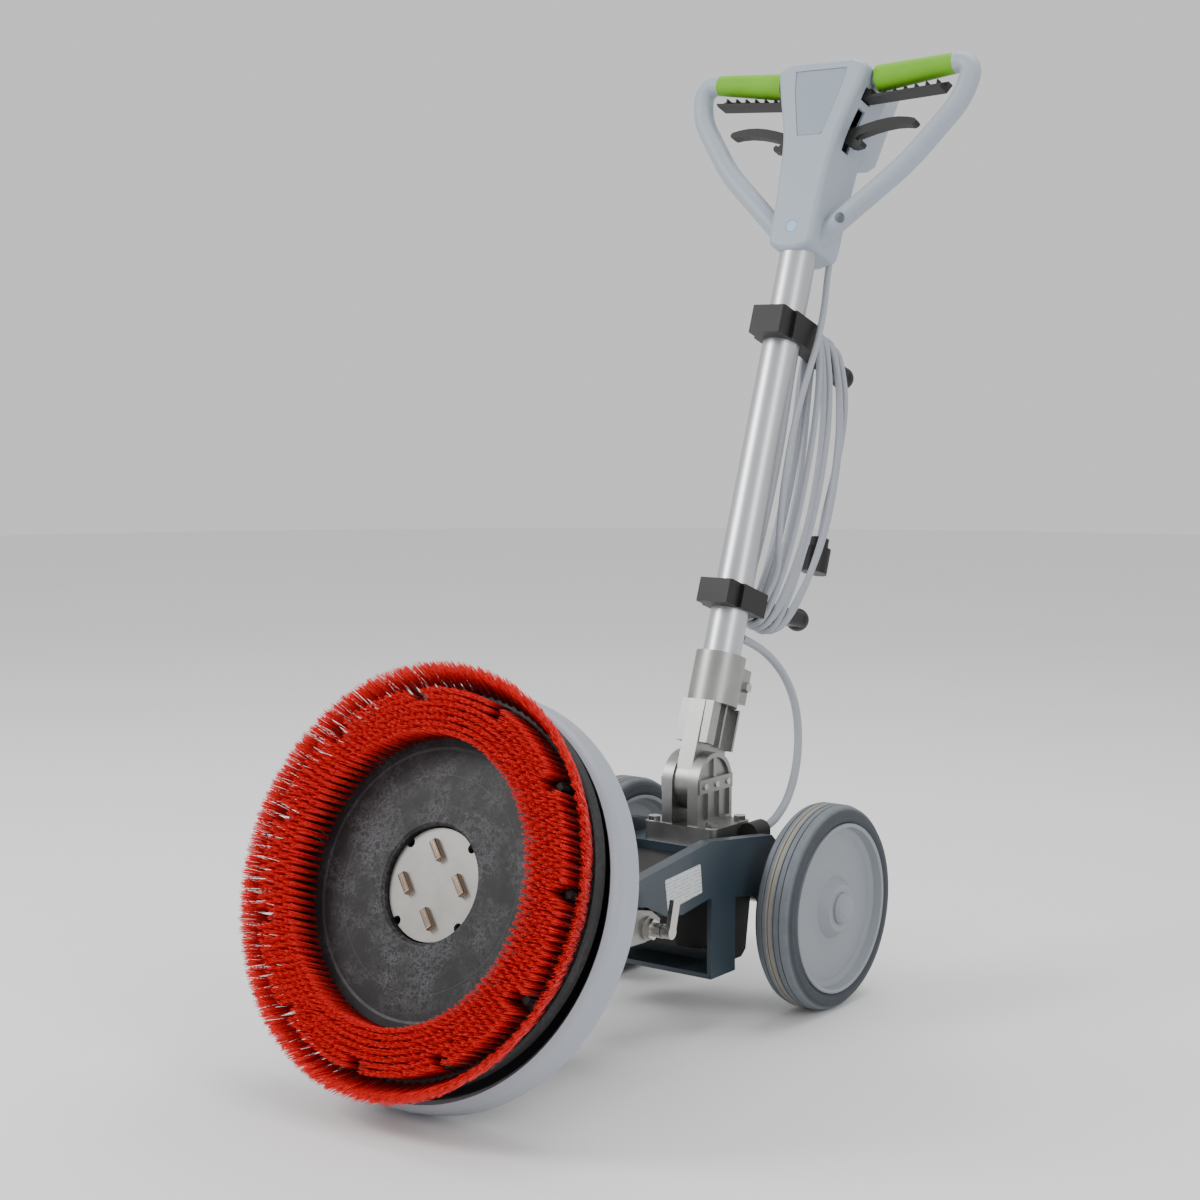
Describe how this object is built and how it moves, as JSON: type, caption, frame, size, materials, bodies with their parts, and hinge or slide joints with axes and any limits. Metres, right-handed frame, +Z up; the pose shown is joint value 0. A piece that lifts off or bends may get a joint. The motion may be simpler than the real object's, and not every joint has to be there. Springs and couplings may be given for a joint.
{
  "type": "floor scrubber",
  "caption": "Single-disc floor scrubber with a tilting round brush head, a bumper ring, a two-wheeled chassis and a leaning mast with a looped switch handle.",
  "frame": {"origin": "on the floor, under the middle of the machine's box without its mains cable", "axes": "+X to the machine's right, +Y to its back (the wheels' end), +Z up"},
  "size_m": [0.485, 1.1076, 1.2299],
  "materials": {
    "frame_paint": "satin slate-blue enamel on folded steel",
    "bracket_steel": "satin black enamel over galvanised strip",
    "bright_steel": "bright zinc-plated steel",
    "cast_aluminium": "shot-blasted gravity casting",
    "tube_aluminium": "satin anodised tube",
    "black_plastic": "fine moulded grain",
    "handle_grey": "fine satin moulded grain",
    "grip_green": "soft-touch grip",
    "ring_grey": "smooth semi-gloss moulding",
    "motor_iron": "laminations and copper",
    "plate_steel": "brushed stainless sheet",
    "block_black": "mottled moulded board",
    "bristle_red": "bunched nylon bristles",
    "tyre_rubber": "grooved grey rubber",
    "rim_grey": "satin moulding",
    "cable_grey": "grey flexible sheath"
  },
  "bodies": {
    "frame": {"side_arm_right": "frame_paint", "side_arm_left": "frame_paint", "cross_plate": "frame_paint", "foot_bracket": "bracket_steel", "axle": "bright_steel", "axle_spacers": "black_plastic", "pivot_base": "cast_aluminium", "keeper_strips": "bright_steel", "pivot_screws": "bright_steel", "mast_pivot_pin": "bright_steel", "lead_gland": "black_plastic", "electrics_box": "black_plastic", "lock_bracket": "cast_aluminium", "plunger_sleeve": "bright_steel", "motor_lead": "cable_grey"},
    "head": {"bumper_ring": "ring_grey", "deck": "cast_aluminium", "motor_shell": "cast_aluminium", "motor_cowl": "black_plastic", "motor_stator": "motor_iron", "ring_gear": "bright_steel", "head_hinge_pins": "bright_steel", "output_bearing": "bright_steel"},
    "rotor": {"motor_rotor": "motor_iron", "rotor_shaft": "bright_steel", "cooling_fan": "black_plastic"},
    "brush": {"drive_hub": "cast_aluminium", "planet_gears": "bright_steel", "drive_plate": "plate_steel", "drive_studs": "plate_steel", "brush_block": "block_black", "inner_bristles": "bristle_red", "outer_bristles": "bristle_red"},
    "wheel_right": {"tyre_right": "tyre_rubber", "rim_right": "rim_grey", "wheel_cap_right": "rim_grey"},
    "wheel_left": {"tyre_left": "tyre_rubber", "rim_left": "rim_grey", "wheel_cap_left": "rim_grey"},
    "mast": {"socket_casting": "cast_aluminium", "clamp_bolt": "bright_steel", "mast_tube": "tube_aluminium", "lead_grommet": "black_plastic", "upper_cable_hook": "black_plastic", "lower_cable_hook": "black_plastic", "front_housing": "handle_grey", "rear_housing": "handle_grey", "handle_arms": "handle_grey", "grips": "grip_green", "bail_pins": "bright_steel", "switch_block": "black_plastic", "strain_relief": "black_plastic", "mains_cable": "cable_grey", "cable_coil": "cable_grey", "mains_plug": "black_plastic"},
    "bail_right": {"bail_right": "black_plastic"},
    "bail_left": {"bail_left": "black_plastic"},
    "release": {"release_bar": "black_plastic"},
    "index_pin": {"index_pin": "bright_steel"},
    "index_lever": {"index_lever": "bright_steel"}
  },
  "joints": [
    {"name": "wheel_right_spin", "type": "hinge", "parent": "frame", "child": "wheel_right", "pos_m": [0.158, 0.15724, 0.1304], "axis": [1, 0, 0], "continuous": true},
    {"name": "wheel_left_spin", "type": "hinge", "parent": "frame", "child": "wheel_left", "pos_m": [-0.158, 0.15724, 0.1304], "axis": [1, 0, 0], "continuous": true},
    {"name": "head_tilt", "type": "hinge", "parent": "frame", "child": "head", "pos_m": [0, -0.28776, 0.1967], "axis": [1, 0, 0], "range_deg": [0, 110.3]},
    {"name": "brush_spin", "type": "hinge", "parent": "head", "child": "brush", "pos_m": [0, -0.41529, 0.24588], "axis": [0, -0.9379, 0.3469], "continuous": true},
    {"name": "rotor_spin", "type": "hinge", "parent": "head", "child": "rotor", "pos_m": [0, -0.21364, 0.17128], "axis": [0, -0.9379, 0.3469], "continuous": true},
    {"name": "mast_tilt", "type": "hinge", "parent": "frame", "child": "mast", "pos_m": [0, 0.10174, 0.2815], "axis": [-1, 0, 0], "range_deg": [-15, 45], "deforming": ["motor_lead"]},
    {"name": "bail_right_squeeze", "type": "hinge", "parent": "mast", "child": "bail_right", "pos_m": [0.046, 0.41507, 1.17622], "axis": [0, -0.9438, 0.3305], "range_deg": [0, 2.5], "stiffness_Nm_per_rad": 1.5, "springref_deg": -20.05},
    {"name": "bail_left_squeeze", "type": "hinge", "parent": "mast", "child": "bail_left", "pos_m": [-0.046, 0.41507, 1.17622], "axis": [0, 0.9438, -0.3305], "range_deg": [0, 2.5], "stiffness_Nm_per_rad": 1.5, "springref_deg": -20.05},
    {"name": "release_lift", "type": "slide", "parent": "mast", "child": "release", "axis": [0, 0.3305, 0.9438], "range_m": [0, 0.012], "stiffness_N_per_m": 400, "springref_m": -0.02},
    {"name": "index_pull", "type": "slide", "parent": "frame", "child": "index_pin", "axis": [1, 0, 0], "range_m": [0, 0.008], "stiffness_N_per_m": 500, "springref_m": -0.01},
    {"name": "index_turn", "type": "hinge", "parent": "index_pin", "child": "index_lever", "pos_m": [0.13, -0.15176, 0.157], "axis": [1, 0, 0], "range_deg": [0, 90]}
  ],
  "couplings": [
    {"joint": "rotor_spin", "follows": "brush_spin", "ratio": 9}
  ]
}
